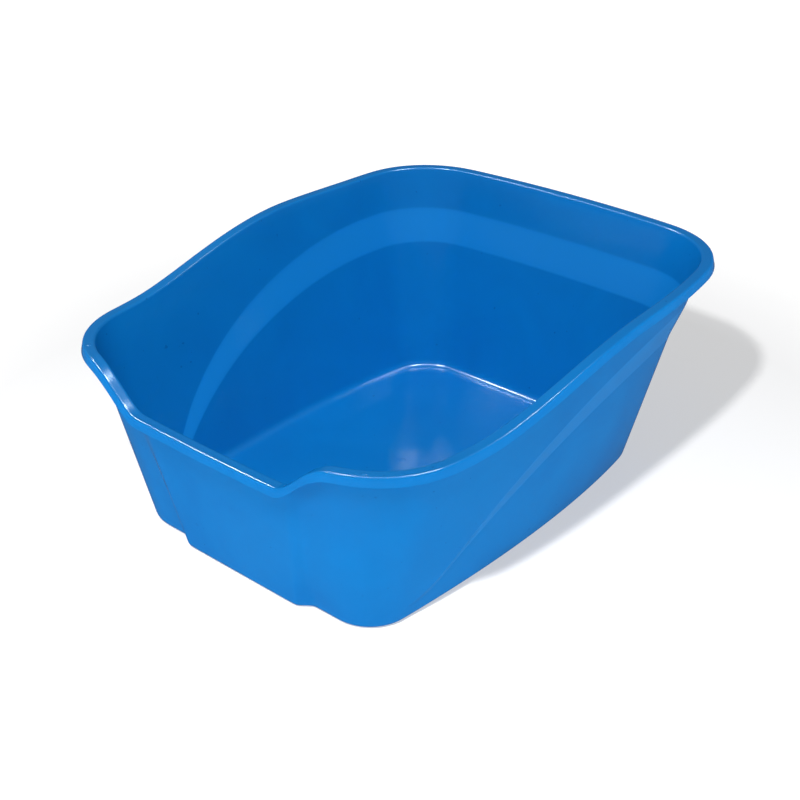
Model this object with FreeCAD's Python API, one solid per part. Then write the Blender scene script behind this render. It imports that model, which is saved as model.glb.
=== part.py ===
"""High-sided litter pan: one thin-walled injection moulding, open at the top.

Frame: millimetres, +Z up, the low entry faces -Y, length along Y, width along X.
The origin is on the ground under the middle of the overall length and width.
"""
import FreeCAD
import Part
import math
import os

# Rim, seen from above (outer ridge of the flange); tilts are how far the bowed edges lean
RIM_FRONT_CORNER = (122.0, -179.6)
RIM_FRONT_RADIUS = 91.4
RIM_BACK_CORNER = (119.3, 169.0)
RIM_BACK_RADIUS = 97.1
RIM_FRONT_TILT = 1.0
RIM_SIDE_FRONT_TILT = 7.5
RIM_SIDE_BACK_TILT = 8.1
RIM_BACK_TILT = 5.7

# Rim, seen from the side
ENTRY_HEIGHT = 149.5
FRONT_CORNER_HEIGHT = 187.7
SIDE_HEIGHT = 223.0
BACK_HEIGHT = 225.5
ENTRY_FLAT_X = 82.5
ENTRY_RISE_X = 61.0
SIDE_RISE_START_Y = -164.0
SIDE_RISE_LENGTH = 226.0
SIDE_RISE_POWER = 0.85
BACK_RISE_START_Y = 124.0
BACK_RISE_LENGTH = 118.0

# Flange: flat top, turned-down skirt, rounded edges
FLANGE_WIDTH = 11.2
FLANGE_THICKNESS = 2.4
SKIRT_DEPTH = 9.0
SKIRT_THICKNESS = 2.2
SKIRT_FLARE = 2.0
RIDGE_ROUND = 2.0
INNER_EDGE_ROUND = 2.5

# Base, seen from above (where the outer wall would meet the ground)
BASE_FRONT_Y = -236.5
BASE_FRONT_CORNER_X = 112.8
BASE_FRONT_RADIUS = 41.5
BASE_BACK_CORNER = (98.0, 148.7)
BASE_BACK_RADIUS = 56.3
BASE_SIDE_FRONT_TILT = 6.3
BASE_SIDE_BACK_TILT = 8.3

# Front panel standing proud between the two front corners
PANEL_STEP = 9.8
PANEL_HALF_WIDTH_BASE = 67.5
PANEL_HALF_WIDTH_RIM = 86.5
PANEL_STEP_RUN_BASE = 17.0
PANEL_STEP_RUN_RIM = 18.0

# Wall, floor and the blends between them
WALL_THICKNESS = 2.3
FLOOR_THICKNESS = 2.6
BASE_BLEND_OUT = 7.0
BASE_BLEND_UP = 6.8
FLOOR_BLEND_IN = 9.0
FLOOR_BLEND_UP = 8.7

# Swept band: the wall above it stands further out than the wall below it
BAND_STEP = 4.5
BAND_BACK_HEIGHT = 163.0
BAND_END_Y = 170.0
BAND_RUN = 345.0
BAND_CURVE_POWER = 0.7
BAND_WIDTH = 33.5
BAND_WIDTH_POWER = 0.6
BAND_FADE_HEIGHT = 40.0
BAND_CLEARANCE = 14.0
BAND_LEAST_WIDTH = 3.0
BAND_BLEND = 8.0

# Stretches of the half outline, front middle to back middle, and the stations in each
FRONT, STEP, LEG, FRONT_CORNER, SIDE, BACK_CORNER, BACK = range(7)
STATIONS = (3, 6, 3, 9, 16, 10, 6)
SLOPE_STEP = 0.001


def ease(value):
    """Smooth step from 0 to 1."""
    value = min(max(value, 0.0), 1.0)
    return value * value * (3 - 2 * value)


def larger(first, second, blend):
    """The larger of two values, rounded off where they cross."""
    return (first + second + math.hypot(first - second, blend)) / 2


def between(start, end, part):
    return start + (end - start) * part


def on_corner(centre, radius, angle):
    """Point of a corner arc, its angle in degrees counted from +X towards +Y."""
    angle = math.radians(angle)
    return centre[0] + radius * math.cos(angle), centre[1] + radius * math.sin(angle)


def on_bow(start, start_tilt, end, end_tilt, part):
    """Point of the bowed side that leaves one corner arc and meets the next without a kink."""
    start_slope = math.tan(math.radians(start_tilt))
    end_slope = -math.tan(math.radians(end_tilt))
    crown_y = (end[0] - start[0] + start_slope * start[1] - end_slope * end[1]) / (start_slope - end_slope)
    crown_x = start[0] + start_slope * (crown_y - start[1])
    x = between(between(start[0], crown_x, part), between(crown_x, end[0], part), part)
    y = between(between(start[1], crown_y, part), between(crown_y, end[1], part), part)
    return x, y


def rim_outline(stretch, part):
    """Outer ridge of the flange, x and y."""
    front_end = on_corner(RIM_FRONT_CORNER, RIM_FRONT_RADIUS, RIM_FRONT_TILT - 90)
    side_start = on_corner(RIM_FRONT_CORNER, RIM_FRONT_RADIUS, -RIM_SIDE_FRONT_TILT)
    side_end = on_corner(RIM_BACK_CORNER, RIM_BACK_RADIUS, RIM_SIDE_BACK_TILT)
    back_start = on_corner(RIM_BACK_CORNER, RIM_BACK_RADIUS, 90 - RIM_BACK_TILT)
    if stretch <= LEG:
        marks = (0.0, PANEL_HALF_WIDTH_RIM, PANEL_HALF_WIDTH_RIM + PANEL_STEP_RUN_RIM, front_end[0])
        x = between(marks[stretch], marks[stretch + 1], part)
        bow = math.tan(math.radians(RIM_FRONT_TILT)) * front_end[0] / 2
        return x, front_end[1] - bow * (1 - (x / front_end[0]) ** 2)
    if stretch == FRONT_CORNER:
        angle = between(RIM_FRONT_TILT - 90, -RIM_SIDE_FRONT_TILT, part)
        return on_corner(RIM_FRONT_CORNER, RIM_FRONT_RADIUS, angle)
    if stretch == SIDE:
        return on_bow(side_start, RIM_SIDE_FRONT_TILT, side_end, RIM_SIDE_BACK_TILT, part)
    if stretch == BACK_CORNER:
        angle = between(RIM_SIDE_BACK_TILT, 90 - RIM_BACK_TILT, part)
        return on_corner(RIM_BACK_CORNER, RIM_BACK_RADIUS, angle)
    x = between(back_start[0], 0.0, part)
    bow = math.tan(math.radians(RIM_BACK_TILT)) * back_start[0] / 2
    return x, back_start[1] + bow * (1 - (x / back_start[0]) ** 2)


def base_outline(stretch, part):
    """Foot of the outer wall, x and y."""
    leg_y = BASE_FRONT_Y + PANEL_STEP
    front_corner = (BASE_FRONT_CORNER_X, leg_y + BASE_FRONT_RADIUS)
    if stretch == FRONT:
        return PANEL_HALF_WIDTH_BASE * part, BASE_FRONT_Y
    if stretch == STEP:
        return PANEL_HALF_WIDTH_BASE + PANEL_STEP_RUN_BASE * part, BASE_FRONT_Y + PANEL_STEP * ease(part)
    if stretch == LEG:
        return between(PANEL_HALF_WIDTH_BASE + PANEL_STEP_RUN_BASE, BASE_FRONT_CORNER_X, part), leg_y
    if stretch == FRONT_CORNER:
        return on_corner(front_corner, BASE_FRONT_RADIUS, between(-90, -BASE_SIDE_FRONT_TILT, part))
    if stretch == SIDE:
        side_start = on_corner(front_corner, BASE_FRONT_RADIUS, -BASE_SIDE_FRONT_TILT)
        side_end = on_corner(BASE_BACK_CORNER, BASE_BACK_RADIUS, BASE_SIDE_BACK_TILT)
        return on_bow(side_start, BASE_SIDE_FRONT_TILT, side_end, BASE_SIDE_BACK_TILT, part)
    if stretch == BACK_CORNER:
        return on_corner(BASE_BACK_CORNER, BASE_BACK_RADIUS, between(BASE_SIDE_BACK_TILT, 90, part))
    return between(BASE_BACK_CORNER[0], 0.0, part), BASE_BACK_CORNER[1] + BASE_BACK_RADIUS


def outward(outline, stretch, part):
    """Horizontal unit vector pointing out of the pan, square to an outline."""
    if (stretch, part) == (FRONT, 0):
        return FreeCAD.Vector(0, -1, 0)
    if (stretch, part) == (BACK, 1):
        return FreeCAD.Vector(0, 1, 0)
    before = outline(stretch, max(part - SLOPE_STEP, 0.0))
    after = outline(stretch, min(part + SLOPE_STEP, 1.0))
    along = FreeCAD.Vector(after[0] - before[0], after[1] - before[1], 0).normalize()
    return FreeCAD.Vector(along.y, -along.x, 0)


def rim_height(x, y):
    if y < SIDE_RISE_START_Y:
        return between(ENTRY_HEIGHT, FRONT_CORNER_HEIGHT, ease((x - ENTRY_FLAT_X) / ENTRY_RISE_X))
    rise = min((y - SIDE_RISE_START_Y) / SIDE_RISE_LENGTH, 1.0) ** SIDE_RISE_POWER
    side = between(FRONT_CORNER_HEIGHT, SIDE_HEIGHT, ease(rise))
    return side + (BACK_HEIGHT - SIDE_HEIGHT) * ease((y - BACK_RISE_START_Y) / BACK_RISE_LENGTH)


def band_centre(y):
    """Height of the middle of the band on the wall at a given place along the length."""
    run = min(max((BAND_END_Y - y) / BAND_RUN, 0.0), 1.0)
    return BAND_BACK_HEIGHT * (1 - run * run) ** BAND_CURVE_POWER


def section(stretch, part):
    """Rails of the moulding at one station, from the underside round the rim to the floor."""
    foot = FreeCAD.Vector(*base_outline(stretch, part), 0)
    ridge = FreeCAD.Vector(*rim_outline(stretch, part), 0)
    foot_out = outward(base_outline, stretch, part)
    rim_out = outward(rim_outline, stretch, part)
    top = rim_height(ridge.x, ridge.y)
    edge = ridge - rim_out * FLANGE_WIDTH

    centre = band_centre((foot.y + ridge.y) / 2)
    width = BAND_WIDTH * (centre / BAND_BACK_HEIGHT) ** BAND_WIDTH_POWER
    band_low = larger(BAND_CLEARANCE, centre - width / 2, BAND_BLEND)
    band_high = band_low + larger(BAND_LEAST_WIDTH, centre + width / 2 - band_low, BAND_BLEND)
    step = rim_out * (BAND_STEP * ease(centre / BAND_FADE_HEIGHT))

    def wall(height, thickness, above_band):
        start = foot - foot_out * (WALL_THICKNESS - thickness)
        end = edge + rim_out * thickness - step
        point = start + (end - start) * (height / top)
        if above_band:
            point = point + step
        return point + FreeCAD.Vector(0, 0, height)

    def level(point, height):
        return FreeCAD.Vector(point.x, point.y, height)

    outer = WALL_THICKNESS
    under = top - FLANGE_THICKNESS
    hem = top - SKIRT_DEPTH
    flare = rim_out * SKIRT_FLARE
    floor_corner = wall(FLOOR_THICKNESS, 0.0, False)
    return (
        (level(foot - foot_out * BASE_BLEND_OUT, 0), foot, wall(BASE_BLEND_UP, outer, False)),
        (wall(band_low, outer, False),),
        (wall(band_high, outer, True),),
        (wall(under, outer, True),),
        (level(ridge - rim_out * SKIRT_THICKNESS, under),),
        (level(ridge - rim_out * SKIRT_THICKNESS + flare, hem),),
        (level(ridge + flare, hem),),
        (level(ridge + flare * (RIDGE_ROUND / SKIRT_DEPTH), top - RIDGE_ROUND),),
        (level(ridge, top), level(ridge - rim_out * RIDGE_ROUND, top)),
        (level(edge + rim_out * INNER_EDGE_ROUND, top),),
        (level(edge, top), wall(top - INNER_EDGE_ROUND, 0.0, True)),
        (wall(band_high, 0.0, True),),
        (wall(band_low, 0.0, False),),
        (wall(FLOOR_THICKNESS + FLOOR_BLEND_UP, 0.0, False),),
        (floor_corner, floor_corner - foot_out * FLOOR_BLEND_IN),
    )


def stations():
    """Stretch and part for every station along the half outline."""
    for stretch, count in enumerate(STATIONS):
        for index in range(count):
            yield stretch, index / count
    yield BACK, 1.0


def clamped(pole_count, degree):
    """Knots and multiplicities of an evenly spaced clamped spline."""
    spans = pole_count - degree
    knots = [index / spans for index in range(spans + 1)]
    mults = [degree + 1] + [1] * (spans - 1) + [degree + 1]
    return knots, mults


def strip(rails):
    """Face spanned by two rails (flat across) or three (rounded across)."""
    along_knots, along_mults = clamped(len(rails[0]), 3)
    across_knots, across_mults = clamped(len(rails), len(rails) - 1)
    poles = [list(row) for row in zip(*rails)]
    surface = Part.BSplineSurface()
    surface.buildFromPolesMultsKnots(poles, along_mults, across_mults, along_knots, across_knots,
                                     False, False, 3, len(rails) - 1)
    return surface.toShape()


def rail_edge(rail):
    knots, mults = clamped(len(rail), 3)
    curve = Part.BSplineCurve()
    curve.buildFromPolesMultsKnots(rail, mults, knots, False, 3)
    return curve.toShape()


def mirrored(rail):
    return [FreeCAD.Vector(-point.x, point.y, point.z) for point in rail]


def make_pan():
    sections = [section(stretch, part) for stretch, part in stations()]
    groups = []
    for group in range(len(sections[0])):
        members = range(len(sections[0][group]))
        groups.append([[rails[group][member] for rails in sections] for member in members])

    faces = []
    last_rail = None
    for group in groups:
        rails = group if last_rail is None else [last_rail] + group
        faces.append(strip(rails))
        faces.append(strip([mirrored(rail) for rail in rails]))
        last_rail = group[-1]
    for rail in (groups[0][0], last_rail):
        outline = Part.Wire([rail_edge(rail), rail_edge(mirrored(rail))])
        faces.append(Part.Face(outline))

    shell = Part.Compound(faces)
    shell.sewShape()
    pan = Part.Solid(shell.Shells[0])
    if pan.Volume < 0:
        pan.reverse()
    return pan


os.makedirs("parts", exist_ok=True)
make_pan().exportStep("parts/litter_pan.step")
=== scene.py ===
"""High-sided litter pan: visual model, material, light and camera.

Lengths of the moulding are in millimetres in the frame of the CAD model, and become metres where
the mesh is made. The low entry faces -Y and +Z is up.
"""
import bpy
import math
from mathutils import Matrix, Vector


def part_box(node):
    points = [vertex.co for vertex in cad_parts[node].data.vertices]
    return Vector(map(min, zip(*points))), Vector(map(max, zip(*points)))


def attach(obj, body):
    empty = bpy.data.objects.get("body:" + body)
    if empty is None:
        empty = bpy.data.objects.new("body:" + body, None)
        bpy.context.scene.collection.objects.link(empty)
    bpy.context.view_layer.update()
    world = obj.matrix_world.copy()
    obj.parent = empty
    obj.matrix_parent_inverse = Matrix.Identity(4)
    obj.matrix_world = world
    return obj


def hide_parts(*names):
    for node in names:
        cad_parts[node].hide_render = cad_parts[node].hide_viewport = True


NODE = "litter_pan"
PIECE = "litter_pan_moulding"
# Point attribute: how much of the band's painted highlight each point takes
BAND_HIGHLIGHT_SHARE = "band_painted_highlight_share"
MM = 0.001

# Rim, seen from above (outer ridge of the flange); tilts are how far the bowed edges lean
RIM_FRONT_CORNER = (122.0, -179.6)
RIM_FRONT_RADIUS = 91.4
RIM_BACK_CORNER = (119.3, 169.0)
RIM_BACK_RADIUS = 97.1
RIM_FRONT_TILT = 1.0
RIM_SIDE_FRONT_TILT = 7.5
RIM_SIDE_BACK_TILT = 8.1
RIM_BACK_TILT = 5.7

# Rim, seen from the side
ENTRY_HEIGHT = 149.5
FRONT_CORNER_HEIGHT = 187.7
SIDE_HEIGHT = 223.0
BACK_HEIGHT = 225.5
ENTRY_FLAT_X = 82.5
ENTRY_RISE_X = 61.0
SIDE_RISE_START_Y = -164.0
SIDE_RISE_LENGTH = 226.0
SIDE_RISE_POWER = 0.85
BACK_RISE_START_Y = 124.0
BACK_RISE_LENGTH = 118.0

# Flange: flat top, turned-down skirt, rounded edges; spans are the steps round each rounded edge
FLANGE_WIDTH = 11.2
FLANGE_THICKNESS = 2.4
SKIRT_DEPTH = 9.0
SKIRT_THICKNESS = 2.2
SKIRT_FLARE = 2.0
RIDGE_ROUND = 2.0
INNER_EDGE_ROUND = 2.5
ROOT_ROUND = 1.5
HEM_ROUND = 0.8
EDGE_SUPPORT = 0.5
RIDGE_SPANS = 6
ROOT_SPANS = 3
SKIRT_ROOT_SPANS = 2
HEM_SPANS = 3

# Base, seen from above (where the outer wall would meet the ground)
BASE_FRONT_Y = -236.5
BASE_FRONT_CORNER_X = 112.8
BASE_FRONT_RADIUS = 41.5
BASE_BACK_CORNER = (98.0, 148.7)
BASE_BACK_RADIUS = 56.3
BASE_SIDE_FRONT_TILT = 6.3
BASE_SIDE_BACK_TILT = 8.3

# Front panel standing proud between the two front corners
PANEL_STEP = 9.8
PANEL_HALF_WIDTH_BASE = 67.5
PANEL_HALF_WIDTH_RIM = 86.5
PANEL_STEP_RUN_BASE = 17.0
PANEL_STEP_RUN_RIM = 18.0

# Wall, floor and the blends between them
WALL_THICKNESS = 2.3
FLOOR_THICKNESS = 2.6
BASE_BLEND_OUT = 7.0
BASE_BLEND_UP = 6.8
FLOOR_BLEND_IN = 9.0
FLOOR_BLEND_UP = 8.7

# Swept band: the wall above it stands further out than the wall below it. The rails are places on
# the wall where points are put: shares of the band's width, and of the plain wall on either side
BAND_STEP = 4.5
BAND_BACK_HEIGHT = 163.0
BAND_END_Y = 170.0
BAND_RUN = 345.0
BAND_CURVE_POWER = 0.7
BAND_WIDTH = 33.5
BAND_WIDTH_POWER = 0.6
BAND_FADE_HEIGHT = 40.0
BAND_CLEARANCE = 14.0
BAND_LEAST_WIDTH = 3.0
BAND_BLEND = 8.0
BAND_EDGE_SOFTNESS = 0.09
BAND_RAILS = (-0.25, -0.14, -0.07, 0.0, 0.07, 0.14, 0.25, 0.5,
              0.75, 0.86, 0.93, 1.0, 1.07, 1.14, 1.25)
WALL_RAILS = (0.25, 0.5, 0.75)
BASE_CORNER_RAILS = 8
FLOOR_CORNER_RAILS = 10

# Stretches of the half outline, front middle to back middle, and the stations in each
FRONT, STEP, LEG, FRONT_CORNER, SIDE, BACK_CORNER, BACK = range(7)
STATIONS = (3, 6, 3, 9, 16, 10, 6)
SAMPLES_PER_SPAN = 4
SLOPE_STEP = 0.001
DEGREE = 3

# Floor and underside: rings towards the middle; on the floor also a faint warp and the gate mark
FLOOR_RINGS = 26
BASE_RINGS = 6
FLOOR_WARP = 0.35
FLOOR_CALM_RATE = 4
FLOOR_WAVE_LENGTHS = (47.0, 61.0, 29.0)
FLOOR_WAVE_SHIFTS = (1.1, 0.4)
FLOOR_CROSS_WAVE = 0.5
GATE_PLACE = (-16.0, 10.0)
GATE_RADIUS = 4.0
GATE_HEIGHT = 0.5

# Small round mould marks on top of the flange, mirrored; domes shape them and the gate mark
MARK_PLACES = ((68.0, -265.0), (168.5, -251.5))
MARK_RADIUS = 2.6
MARK_HEIGHT = 0.3
DOME_SIDES = 28
DOME_RINGS = 5
DOME_SUNK = 0.4

# Plastic: linear colours, and the places of the noise between which a value runs
DEEP_BLUE = (0.002, 0.173, 0.528, 1)
LIGHT_BLUE = (0.002, 0.196, 0.573, 1)
SPECK_BLUE = (0.0, 0.05, 0.22, 1)
# The band's paler blue is a painted highlight, standing in for the light its sloping face catches
BAND_PAINTED_HIGHLIGHT_BLUE = (0.006, 0.232, 0.660, 1)
NOISE_LOW = 0.3
NOISE_HIGH = 0.7
ROUGHNESS_LOW = 0.16
ROUGHNESS_HIGH = 0.21

# Studio, in metres and watts; the world's strengths are for diffuse and for glossy rays, and the
# floor's glow is a distance from the middle and the strength there
ORIGIN = (0, 0, 0)
FILL_LIGHT = 0.3
REFLECTED_LIGHT = 0.1
COOL_WHITE = (0.8, 0.95, 1.0)
FLOOR_HALF_SIZE = 6.0
FLOOR_GREY = (0.35, 0.35, 0.35, 1)
GLOW_NEAR = (0.5, 0.50)
GLOW_FAR = (1.1, 1.05)

# Lights: name, azimuth, elevation, distance, width and height, power. The fills also say whether
# they light the pan only
KEY_LIGHT = ("key", 24, 50, 1.6, (0.07, 0.07), 45)
FILL_LIGHTS = (
    ("top_fill", 38, 56, 4.0, (1.2, 1.2), 114, True),
    ("front_fill", -42, 5, 2.2, (0.8, 0.2), 13, False),
    ("side_fill", 122, 5, 2.2, (0.8, 0.2), 12, False),
    ("under_fill", 70, -72, 2.0, (1.4, 1.4), 9, True),
)
SOFTBOXES = (
    ("overhead", -50, 73, 1.6, (0.3, 0.3), 26),
    ("overhead", 130, 73, 1.6, (0.3, 0.3), 26),
    ("strip", 40, 86, 1.5, (1.0, 0.06), 20),
    ("left_softbox", -85, 55, 1.6, (0.3, 0.3), 30),
)

# Camera: lens and sensor in millimetres, target and distance in metres, directions in degrees
LENS = 59.8
SENSOR_WIDTH = 36.0
CAMERA_TARGET = (-0.01488, 0.00417, 0.0775)
CAMERA_AZIMUTH = 40.52
CAMERA_ELEVATION = 29.14
CAMERA_DISTANCE = 1.3438


def ease(value):
    """Smooth step from 0 to 1."""
    value = min(max(value, 0.0), 1.0)
    return value * value * (3 - 2 * value)


def larger(first, second, blend):
    """The larger of two values, rounded off where they cross."""
    return (first + second + math.hypot(first - second, blend)) / 2


def between(start, end, part):
    return start + (end - start) * part


def on_corner(centre, radius, angle):
    """Point of a corner arc, its angle in degrees counted from +X towards +Y."""
    angle = math.radians(angle)
    return centre[0] + radius * math.cos(angle), centre[1] + radius * math.sin(angle)


def on_bow(start, start_tilt, end, end_tilt, part):
    """Point of the bowed side that leaves one corner arc and meets the next without a kink."""
    start_slope = math.tan(math.radians(start_tilt))
    end_slope = -math.tan(math.radians(end_tilt))
    reach = end[0] - start[0] + start_slope * start[1] - end_slope * end[1]
    crown_y = reach / (start_slope - end_slope)
    crown_x = start[0] + start_slope * (crown_y - start[1])
    x = between(between(start[0], crown_x, part), between(crown_x, end[0], part), part)
    y = between(between(start[1], crown_y, part), between(crown_y, end[1], part), part)
    return x, y


def rim_outline(stretch, part):
    """Outer ridge of the flange, x and y."""
    front_end = on_corner(RIM_FRONT_CORNER, RIM_FRONT_RADIUS, RIM_FRONT_TILT - 90)
    side_start = on_corner(RIM_FRONT_CORNER, RIM_FRONT_RADIUS, -RIM_SIDE_FRONT_TILT)
    side_end = on_corner(RIM_BACK_CORNER, RIM_BACK_RADIUS, RIM_SIDE_BACK_TILT)
    back_start = on_corner(RIM_BACK_CORNER, RIM_BACK_RADIUS, 90 - RIM_BACK_TILT)
    if stretch <= LEG:
        marks = (0.0, PANEL_HALF_WIDTH_RIM, PANEL_HALF_WIDTH_RIM + PANEL_STEP_RUN_RIM, front_end[0])
        x = between(marks[stretch], marks[stretch + 1], part)
        bow = math.tan(math.radians(RIM_FRONT_TILT)) * front_end[0] / 2
        return x, front_end[1] - bow * (1 - (x / front_end[0]) ** 2)
    if stretch == FRONT_CORNER:
        angle = between(RIM_FRONT_TILT - 90, -RIM_SIDE_FRONT_TILT, part)
        return on_corner(RIM_FRONT_CORNER, RIM_FRONT_RADIUS, angle)
    if stretch == SIDE:
        return on_bow(side_start, RIM_SIDE_FRONT_TILT, side_end, RIM_SIDE_BACK_TILT, part)
    if stretch == BACK_CORNER:
        angle = between(RIM_SIDE_BACK_TILT, 90 - RIM_BACK_TILT, part)
        return on_corner(RIM_BACK_CORNER, RIM_BACK_RADIUS, angle)
    x = between(back_start[0], 0.0, part)
    bow = math.tan(math.radians(RIM_BACK_TILT)) * back_start[0] / 2
    return x, back_start[1] + bow * (1 - (x / back_start[0]) ** 2)


def base_outline(stretch, part):
    """Foot of the outer wall, x and y."""
    leg_y = BASE_FRONT_Y + PANEL_STEP
    front_corner = (BASE_FRONT_CORNER_X, leg_y + BASE_FRONT_RADIUS)
    if stretch == FRONT:
        return PANEL_HALF_WIDTH_BASE * part, BASE_FRONT_Y
    if stretch == STEP:
        x = PANEL_HALF_WIDTH_BASE + PANEL_STEP_RUN_BASE * part
        return x, BASE_FRONT_Y + PANEL_STEP * ease(part)
    if stretch == LEG:
        leg_start = PANEL_HALF_WIDTH_BASE + PANEL_STEP_RUN_BASE
        return between(leg_start, BASE_FRONT_CORNER_X, part), leg_y
    if stretch == FRONT_CORNER:
        angle = between(-90, -BASE_SIDE_FRONT_TILT, part)
        return on_corner(front_corner, BASE_FRONT_RADIUS, angle)
    if stretch == SIDE:
        side_start = on_corner(front_corner, BASE_FRONT_RADIUS, -BASE_SIDE_FRONT_TILT)
        side_end = on_corner(BASE_BACK_CORNER, BASE_BACK_RADIUS, BASE_SIDE_BACK_TILT)
        return on_bow(side_start, BASE_SIDE_FRONT_TILT, side_end, BASE_SIDE_BACK_TILT, part)
    if stretch == BACK_CORNER:
        angle = between(BASE_SIDE_BACK_TILT, 90, part)
        return on_corner(BASE_BACK_CORNER, BASE_BACK_RADIUS, angle)
    return between(BASE_BACK_CORNER[0], 0.0, part), BASE_BACK_CORNER[1] + BASE_BACK_RADIUS


def outward(outline, stretch, part):
    """Horizontal unit vector pointing out of the pan, square to an outline."""
    if (stretch, part) == (FRONT, 0):
        return Vector((0, -1, 0))
    if (stretch, part) == (BACK, 1):
        return Vector((0, 1, 0))
    before = outline(stretch, max(part - SLOPE_STEP, 0.0))
    after = outline(stretch, min(part + SLOPE_STEP, 1.0))
    along = Vector((after[0] - before[0], after[1] - before[1], 0)).normalized()
    return Vector((along.y, -along.x, 0))


def rim_height(x, y):
    if y < SIDE_RISE_START_Y:
        return between(ENTRY_HEIGHT, FRONT_CORNER_HEIGHT, ease((x - ENTRY_FLAT_X) / ENTRY_RISE_X))
    rise = min((y - SIDE_RISE_START_Y) / SIDE_RISE_LENGTH, 1.0) ** SIDE_RISE_POWER
    side = between(FRONT_CORNER_HEIGHT, SIDE_HEIGHT, ease(rise))
    return side + (BACK_HEIGHT - SIDE_HEIGHT) * ease((y - BACK_RISE_START_Y) / BACK_RISE_LENGTH)


def band_centre(y):
    """Height of the middle of the band on the wall at a given place along the length."""
    run = min(max((BAND_END_Y - y) / BAND_RUN, 0.0), 1.0)
    return BAND_BACK_HEIGHT * (1 - run * run) ** BAND_CURVE_POWER


def ledge(part):
    """How much of the band's step is taken: 0 below the band, 1 above it, with soft edges."""
    return larger(part, 0.0, BAND_EDGE_SOFTNESS) - larger(part - 1, 0.0, BAND_EDGE_SOFTNESS)


def rounded(start, corner, end, count):
    """Points of the soft corner between two straight stretches, both ends included."""
    points = []
    for index in range(count + 1):
        part = index / count
        points.append(start.lerp(corner, part).lerp(corner.lerp(end, part), part))
    return points


def level(point, height):
    return Vector((point.x, point.y, height))


def section(stretch, part):
    """Rails of the moulding at one station, from the underside round the rim to the floor."""
    foot = Vector((*base_outline(stretch, part), 0))
    ridge = Vector((*rim_outline(stretch, part), 0))
    foot_out = outward(base_outline, stretch, part)
    rim_out = outward(rim_outline, stretch, part)
    top = rim_height(ridge.x, ridge.y)
    edge = ridge - rim_out * FLANGE_WIDTH

    centre = band_centre((foot.y + ridge.y) / 2)
    width = BAND_WIDTH * (centre / BAND_BACK_HEIGHT) ** BAND_WIDTH_POWER
    band_low = larger(BAND_CLEARANCE, centre - width / 2, BAND_BLEND)
    band_width = larger(BAND_LEAST_WIDTH, centre + width / 2 - band_low, BAND_BLEND)
    step = rim_out * (BAND_STEP * ease(centre / BAND_FADE_HEIGHT))

    def wall(height, thickness):
        start = foot - foot_out * (WALL_THICKNESS - thickness)
        end = edge + rim_out * thickness - step
        place = (height - band_low) / band_width
        point = start + (end - start) * (height / top) + step * ledge(place)
        return level(point, height)

    def wall_stretch(bottom, ceiling, thickness):
        """The wall from foot blend to rim blend, with rails gathered at the band's edges."""
        band = [band_low + band_width * place for place in BAND_RAILS]
        heights = [between(bottom, band[0], place) for place in WALL_RAILS]
        heights += band
        heights += [between(band[-1], ceiling, place) for place in WALL_RAILS]
        return [wall(height, thickness) for height in heights]

    outer = WALL_THICKNESS
    under = top - FLANGE_THICKNESS
    hem = top - SKIRT_DEPTH
    flare = rim_out * SKIRT_FLARE
    skirt_inside = ridge - rim_out * SKIRT_THICKNESS
    hem_inside = level(skirt_inside + flare, hem)
    hem_outside = level(ridge + flare, hem)
    hem_middle = (hem_inside + hem_outside) / 2
    lift = Vector((0, 0, HEM_ROUND))
    ridge_foot = level(ridge + flare * (RIDGE_ROUND / SKIRT_DEPTH), top - RIDGE_ROUND)

    base_start = level(foot - foot_out * BASE_BLEND_OUT, 0)
    rails = rounded(base_start, foot, wall(BASE_BLEND_UP, outer), BASE_CORNER_RAILS - 1)
    rails += wall_stretch(BASE_BLEND_UP, under - ROOT_ROUND, outer)
    root = wall(under, outer)
    root_end = level(root + rim_out * ROOT_ROUND, under)
    rails += rounded(wall(under - ROOT_ROUND, outer), root, root_end, ROOT_SPANS)
    corner = level(skirt_inside, under)
    corner_start = level(corner - rim_out * HEM_ROUND, under)
    rails += rounded(corner_start, corner, corner - lift, SKIRT_ROOT_SPANS)
    rails += rounded(hem_inside + lift, hem_inside, hem_middle, HEM_SPANS)
    rails += rounded(hem_middle, hem_outside, hem_outside + lift, HEM_SPANS)[1:]
    rails.append((ridge_foot * 3 + hem_outside) / 4)
    rails.append(ridge_foot.lerp(hem_outside, EDGE_SUPPORT / SKIRT_DEPTH))
    ridge_end = level(ridge - rim_out * RIDGE_ROUND, top)
    rails += rounded(ridge_foot, level(ridge, top), ridge_end, RIDGE_SPANS)
    rails.append(level(ridge - rim_out * (RIDGE_ROUND + EDGE_SUPPORT), top))
    rails.append(level(edge + rim_out * (INNER_EDGE_ROUND + EDGE_SUPPORT), top))
    inner_start = level(edge + rim_out * INNER_EDGE_ROUND, top)
    inner_end = wall(top - INNER_EDGE_ROUND, 0.0)
    rails += rounded(inner_start, level(edge, top), inner_end, RIDGE_SPANS)
    bottom = FLOOR_THICKNESS + FLOOR_BLEND_UP
    rails += reversed(wall_stretch(bottom, top - INNER_EDGE_ROUND - EDGE_SUPPORT, 0.0))
    floor_corner = wall(FLOOR_THICKNESS, 0.0)
    floor_start = floor_corner - foot_out * FLOOR_BLEND_IN
    rails += rounded(wall(bottom, 0.0), floor_corner, floor_start, FLOOR_CORNER_RAILS - 1)
    return rails


def on_band(rail, count):
    """Whether a rail lies on the sloping band, outside or inside the pan."""
    outer_first = BASE_CORNER_RAILS + len(WALL_RAILS)
    inner_last = count - FLOOR_CORNER_RAILS - len(WALL_RAILS) - 1
    for index in (rail - outer_first, inner_last - rail):
        if 0 <= index < len(BAND_RAILS):
            return 0 <= BAND_RAILS[index] <= 1
    return False


def band_highlight_shares(rings):
    """Share of the band's painted highlight, its paler colour, at every point of the rings, fading
    out with the band.
    """
    shares = []
    for rail, ring in enumerate(rings):
        for point in ring:
            fade = ease(band_centre(point.y) / BAND_FADE_HEIGHT)
            shares.append(fade if on_band(rail, len(rings)) else 0.0)
    return shares


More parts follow.
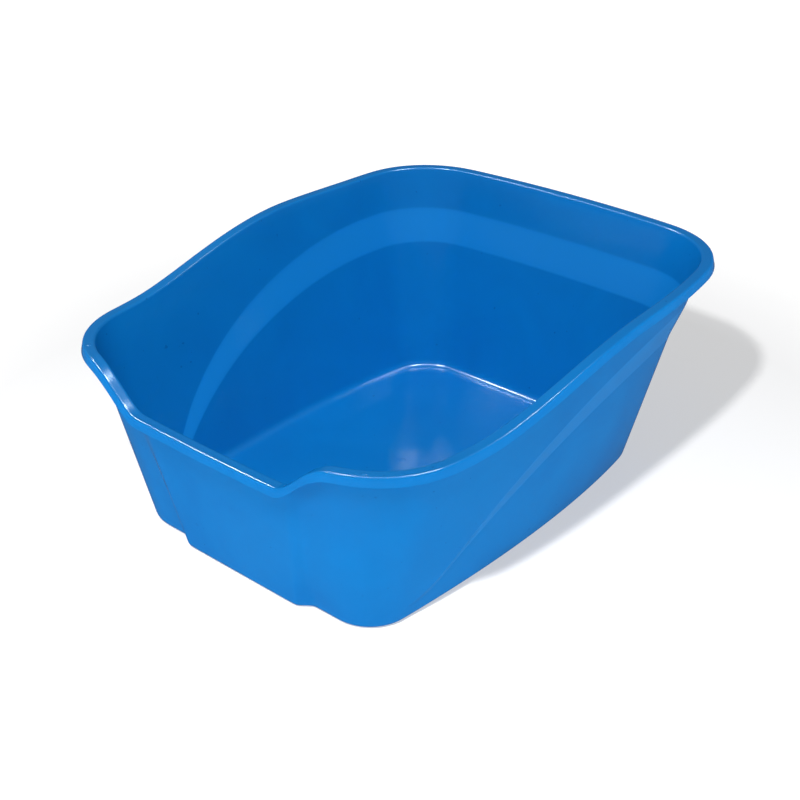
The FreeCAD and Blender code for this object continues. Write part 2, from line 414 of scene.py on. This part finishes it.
def stations():
    """Stretch and part for every station along the half outline."""
    for stretch, count in enumerate(STATIONS):
        for index in range(count):
            yield stretch, index / count
    yield BACK, 1.0


def spline_weights(pole_count, place):
    """First pole and four weights of an evenly spaced clamped cubic spline at place, in spans."""
    spans = pole_count - DEGREE
    span = min(int(place), spans - 1)

    def knot(index):
        return min(max(index - DEGREE, 0), spans)

    weights = [1.0]
    for degree in range(1, DEGREE + 1):
        raised = [0.0] * (degree + 1)
        for index, weight in enumerate(weights):
            right_index = span + DEGREE + 1 + index
            left = knot(right_index - degree)
            right = knot(right_index)
            share = (place - left) / (right - left)
            raised[index] += weight * (1 - share)
            raised[index + 1] += weight * share
        weights = raised
    return span, weights


def smooth_sections():
    """Sections evenly along the half outline, on the same cubic splines as the CAD surfaces."""
    poles = [section(stretch, part) for stretch, part in stations()]
    steps = (len(poles) - DEGREE) * SAMPLES_PER_SPAN
    sections = []
    for step in range(steps + 1):
        first, weights = spline_weights(len(poles), step / SAMPLES_PER_SPAN)
        rows = poles[first:first + len(weights)]
        rails = []
        for rail in range(len(poles[0])):
            parts = (row[rail] * weight for row, weight in zip(rows, weights))
            rails.append(sum(parts, Vector()))
        sections.append(rails)
    return sections


def full_ring(half):
    """All the way round from the front middle, by way of +X, the back and -X."""
    other = [Vector((-point.x, point.y, point.z)) for point in half[-2:0:-1]]
    return half + other


def floor_warp(x, y):
    """Faint waviness of the moulded floor; disc_rings calms it towards the edge."""
    x_length, y_length, cross_length = FLOOR_WAVE_LENGTHS
    x_shift, y_shift = FLOOR_WAVE_SHIFTS
    wave = math.sin(x / x_length + x_shift) * math.cos(y / y_length - y_shift)
    return FLOOR_WARP * (wave + FLOOR_CROSS_WAVE * math.sin((x + y) / cross_length))


def disc_rings(rim, centre, count, rise):
    """Rings from a flat outline in to its middle; rise adds height, eased in from the edge."""
    rings = []
    for index in range(1, count):
        part = 1 - index / count
        ring = [centre.lerp(point, part) for point in rim]
        calm = ease((1 - part) * FLOOR_CALM_RATE)
        rings.append([point + Vector((0, 0, rise(point.x, point.y) * calm)) for point in ring])
    return rings


def add_ring_faces(faces, start, count):
    """Quads between the ring that starts at a vertex and the next ring after it."""
    for index in range(count):
        after = (index + 1) % count
        faces.append((start + index, start + after, start + count + after, start + count + index))


def add_cap(points, faces, start, count, middle, upward):
    """Triangles from a ring to one middle point."""
    points.append(middle)
    tip = len(points) - 1
    for index in range(count):
        pair = (start + index, start + (index + 1) % count)
        faces.append((*(pair if upward else pair[::-1]), tip))


def add_dome(points, faces, centre, radius, height):
    """Shallow round pip on a surface; its closed underside is sunk in by a share of its height."""
    start = len(points)
    for ring in range(DOME_RINGS):
        angle = ring / DOME_RINGS * math.pi / 2
        reach = radius * math.cos(angle)
        lift = height * ((1 + DOME_SUNK) * math.sin(angle) - DOME_SUNK)
        for side in range(DOME_SIDES):
            turn = side / DOME_SIDES * 2 * math.pi
            points.append(centre + Vector((reach * math.cos(turn), reach * math.sin(turn), lift)))
    for ring in range(DOME_RINGS - 1):
        add_ring_faces(faces, start + ring * DOME_SIDES, DOME_SIDES)
    top_ring = start + (DOME_RINGS - 1) * DOME_SIDES
    add_cap(points, faces, start, DOME_SIDES, centre - Vector((0, 0, DOME_SUNK * height)), False)
    add_cap(points, faces, top_ring, DOME_SIDES, centre + Vector((0, 0, height)), True)


def build_pan():
    """The whole moulding as one mesh, with the share of the band's painted highlight stored at its
    points.
    """
    sections = smooth_sections()
    rings = [full_ring([rails[rail] for rails in sections]) for rail in range(len(sections[0]))]
    count = len(rings[0])
    base_middle = Vector((0, (rings[0][0].y + rings[0][count // 2].y) / 2, 0))
    floor_middle = level(base_middle, FLOOR_THICKNESS)
    under_rings = disc_rings(rings[0], base_middle, BASE_RINGS, lambda x, y: 0.0)
    floor_rings = disc_rings(rings[-1], floor_middle, FLOOR_RINGS, floor_warp)
    shares = [0.0] * (BASE_RINGS - 1) * count + band_highlight_shares(rings)
    rings = under_rings[::-1] + rings + floor_rings

    points = [point for ring in rings for point in ring]
    faces = []
    for ring in range(len(rings) - 1):
        add_ring_faces(faces, ring * count, count)
    add_cap(points, faces, 0, count, base_middle, False)
    tip = floor_middle + Vector((0, 0, floor_warp(floor_middle.x, floor_middle.y)))
    add_cap(points, faces, (len(rings) - 1) * count, count, tip, True)
    gate = Vector((*GATE_PLACE, FLOOR_THICKNESS + floor_warp(*GATE_PLACE)))
    add_dome(points, faces, gate, GATE_RADIUS, GATE_HEIGHT)
    for x, y in MARK_PLACES:
        for side in (-1, 1):
            mark = Vector((side * x, y, rim_height(x, y)))
            add_dome(points, faces, mark, MARK_RADIUS, MARK_HEIGHT)

    mesh = bpy.data.meshes.new(PIECE)
    mesh.from_pydata(in_metres(points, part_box(NODE)), [], faces)
    shares += [0.0] * (len(points) - len(shares))
    mesh.attributes.new(BAND_HIGHLIGHT_SHARE, "FLOAT", "POINT").data.foreach_set("value", shares)
    mesh.shade_smooth()
    pan = bpy.data.objects.new(PIECE, mesh)
    bpy.context.collection.objects.link(pan)
    return pan


def in_metres(points, box):
    """Millimetres to metres, kept inside the box of the CAD node."""
    low, high = box
    places = []
    for point in points:
        place = point * MM
        places.append([min(max(place[axis], low[axis]), high[axis]) for axis in range(3)])
    return places


def node(tree, kind, **inputs):
    made = tree.nodes.new(kind)
    for name, value in inputs.items():
        made.inputs[name.replace("_", " ")].default_value = value
    return made


def plastic():
    """Glossy blue polypropylene: faint flow marks, dark specks, a painted highlight that makes the
    band paler, slight ripple.
    """
    material = bpy.data.materials.new("blue_polypropylene")
    material.use_nodes = True
    tree = material.node_tree
    link = tree.links.new
    shader = tree.nodes["Principled BSDF"]
    shader.inputs["Specular IOR Level"].default_value = 0.3
    shader.inputs["IOR"].default_value = 1.49
    place = tree.nodes.new("ShaderNodeTexCoord")

    flow = node(tree, "ShaderNodeTexNoise", Scale=9.0, Detail=4.0, Roughness=0.55, Distortion=0.8)
    link(place.outputs["Object"], flow.inputs["Vector"])
    tint = tree.nodes.new("ShaderNodeValToRGB")
    for index, place_on_ramp, colour in ((0, NOISE_LOW, DEEP_BLUE), (1, NOISE_HIGH, LIGHT_BLUE)):
        tint.color_ramp.elements[index].position = place_on_ramp
        tint.color_ramp.elements[index].color = colour
    link(flow.outputs["Fac"], tint.inputs["Fac"])

    dust = node(tree, "ShaderNodeTexNoise", Scale=240.0, Detail=0.0)
    link(place.outputs["Object"], dust.inputs["Vector"])
    speck = node(tree, "ShaderNodeMapRange", From_Min=0.85, From_Max=0.88, To_Min=0.0, To_Max=0.35)
    link(dust.outputs["Fac"], speck.inputs["Value"])
    specked = node(tree, "ShaderNodeMixRGB", Color2=SPECK_BLUE)
    link(speck.outputs["Result"], specked.inputs["Fac"])
    link(tint.outputs["Color"], specked.inputs["Color1"])
    # The band is painted paler by its share: a painted highlight for the light its sloping face
    # catches
    band = tree.nodes.new("ShaderNodeAttribute")
    band.attribute_name = BAND_HIGHLIGHT_SHARE
    painted_band_highlight = node(tree, "ShaderNodeMixRGB", Color2=BAND_PAINTED_HIGHLIGHT_BLUE)
    link(band.outputs["Fac"], painted_band_highlight.inputs["Fac"])
    link(specked.outputs["Color"], painted_band_highlight.inputs["Color1"])
    link(painted_band_highlight.outputs["Color"], shader.inputs["Base Color"])

    gloss = node(tree, "ShaderNodeTexNoise", Scale=14.0, Detail=1.0)
    link(place.outputs["Object"], gloss.inputs["Vector"])
    spread = node(tree, "ShaderNodeMapRange", From_Min=NOISE_LOW, From_Max=NOISE_HIGH,
                  To_Min=ROUGHNESS_LOW, To_Max=ROUGHNESS_HIGH)
    link(gloss.outputs["Fac"], spread.inputs["Value"])
    link(spread.outputs["Result"], shader.inputs["Roughness"])

    ripple = node(tree, "ShaderNodeTexNoise", Scale=22.0, Detail=0.0)
    link(place.outputs["Object"], ripple.inputs["Vector"])
    broad = node(tree, "ShaderNodeBump", Strength=0.12, Distance=0.002)
    link(ripple.outputs["Fac"], broad.inputs["Height"])
    link(broad.outputs["Normal"], shader.inputs["Normal"])
    return material


def floor_material():
    """Matt grey floor that glows, more so away from the pan, so that it fades to white."""
    material = bpy.data.materials.new("pale_floor")
    material.use_nodes = True
    tree = material.node_tree
    shader = tree.nodes["Principled BSDF"]
    shader.inputs["Base Color"].default_value = FLOOR_GREY
    shader.inputs["Roughness"].default_value = 0.9
    shader.inputs["Specular IOR Level"].default_value = 0.0
    shader.inputs["Emission Color"].default_value = (1, 1, 1, 1)
    place = tree.nodes.new("ShaderNodeTexCoord")
    away = node(tree, "ShaderNodeVectorMath")
    away.operation = "LENGTH"
    tree.links.new(place.outputs["Object"], away.inputs[0])
    glow = node(tree, "ShaderNodeMapRange", From_Min=GLOW_NEAR[0], From_Max=GLOW_FAR[0],
                To_Min=GLOW_NEAR[1], To_Max=GLOW_FAR[1])
    tree.links.new(away.outputs["Value"], glow.inputs["Value"])
    tree.links.new(glow.outputs["Result"], shader.inputs["Emission Strength"])
    return material


def add_floor():
    corners = [(x * FLOOR_HALF_SIZE, y * FLOOR_HALF_SIZE, 0)
               for x, y in ((-1, -1), (1, -1), (1, 1), (-1, 1))]
    mesh = bpy.data.meshes.new("studio_floor")
    mesh.from_pydata(corners, [], [(0, 1, 2, 3)])
    floor = bpy.data.objects.new("studio_floor", mesh)
    floor.data.materials.append(floor_material())
    bpy.context.collection.objects.link(floor)
    floor.visible_glossy = False
    return floor


def aimed(thing, place, target):
    thing.location = place
    thing.rotation_euler = (Vector(target) - Vector(place)).to_track_quat("-Z", "Y").to_euler()
    bpy.context.collection.objects.link(thing)
    return thing


def around(target, azimuth, elevation, distance):
    """Point at a bearing from a target; azimuth 0 is in front of it, on -Y."""
    azimuth = math.radians(azimuth)
    elevation = math.radians(elevation)
    level_reach = math.cos(elevation)
    back = Vector((math.sin(azimuth) * level_reach, -math.cos(azimuth) * level_reach,
                   math.sin(elevation)))
    return Vector(target) + back * distance


def add_light(name, azimuth, elevation, distance, size, power, only=None, colour=(1, 1, 1)):
    """Rectangular light aimed at the pan; it can be kept to one object, even through the floor."""
    data = bpy.data.lights.new(name, "AREA")
    data.shape = "RECTANGLE"
    data.size, data.size_y = size
    data.energy = power
    data.color = colour
    place = around(ORIGIN, azimuth, elevation, distance)
    light = aimed(bpy.data.objects.new(name, data), place, ORIGIN)
    light.visible_camera = False
    if only:
        lit = bpy.data.collections.new(name + "_lights")
        lit.objects.link(only)
        light.light_linking.receiver_collection = lit
        if elevation < 0:
            light.light_linking.blocker_collection = lit
    return light


def add_camera():
    data = bpy.data.cameras.new("camera")
    data.sensor_width = SENSOR_WIDTH
    data.lens = LENS
    place = around(CAMERA_TARGET, CAMERA_AZIMUTH, CAMERA_ELEVATION, CAMERA_DISTANCE)
    camera = aimed(bpy.data.objects.new("camera", data), place, CAMERA_TARGET)
    bpy.context.scene.camera = camera


def studio_world():
    """White surroundings, dimmer as fill light and dimmer still in reflections."""
    world = bpy.data.worlds.new("studio")
    world.use_nodes = True
    tree = world.node_tree
    background = tree.nodes["Background"]
    background.inputs["Color"].default_value = (1, 1, 1, 1)
    ray = tree.nodes.new("ShaderNodeLightPath")
    dimmer = node(tree, "ShaderNodeMapRange", To_Min=FILL_LIGHT, To_Max=REFLECTED_LIGHT)
    tree.links.new(ray.outputs["Is Glossy Ray"], dimmer.inputs["Value"])
    seen = node(tree, "ShaderNodeMapRange", To_Max=1.0)
    tree.links.new(ray.outputs["Is Camera Ray"], seen.inputs["Value"])
    tree.links.new(dimmer.outputs["Result"], seen.inputs["To Min"])
    tree.links.new(seen.outputs["Result"], background.inputs["Strength"])
    return world


def set_studio(pan, floor):
    """The key lights the floor only, fills don't show in reflections, softboxes only show there."""
    scene = bpy.context.scene
    scene.view_settings.view_transform = "Standard"
    scene.world = studio_world()
    add_light(*KEY_LIGHT, only=floor)
    for *row, for_pan in FILL_LIGHTS:
        add_light(*row, only=pan if for_pan else None).visible_glossy = False
    for row in SOFTBOXES:
        add_light(*row, colour=COOL_WHITE).visible_diffuse = False


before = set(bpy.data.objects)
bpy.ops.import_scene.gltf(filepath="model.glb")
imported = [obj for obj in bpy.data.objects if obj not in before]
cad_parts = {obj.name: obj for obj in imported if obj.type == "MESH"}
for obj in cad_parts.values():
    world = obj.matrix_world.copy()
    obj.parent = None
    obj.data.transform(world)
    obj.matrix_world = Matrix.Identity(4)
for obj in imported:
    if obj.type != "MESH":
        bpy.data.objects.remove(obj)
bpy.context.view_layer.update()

pan = build_pan()
pan.data.materials.append(plastic())
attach(pan, "root")
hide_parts(NODE)

floor = add_floor()
set_studio(pan, floor)
add_camera()
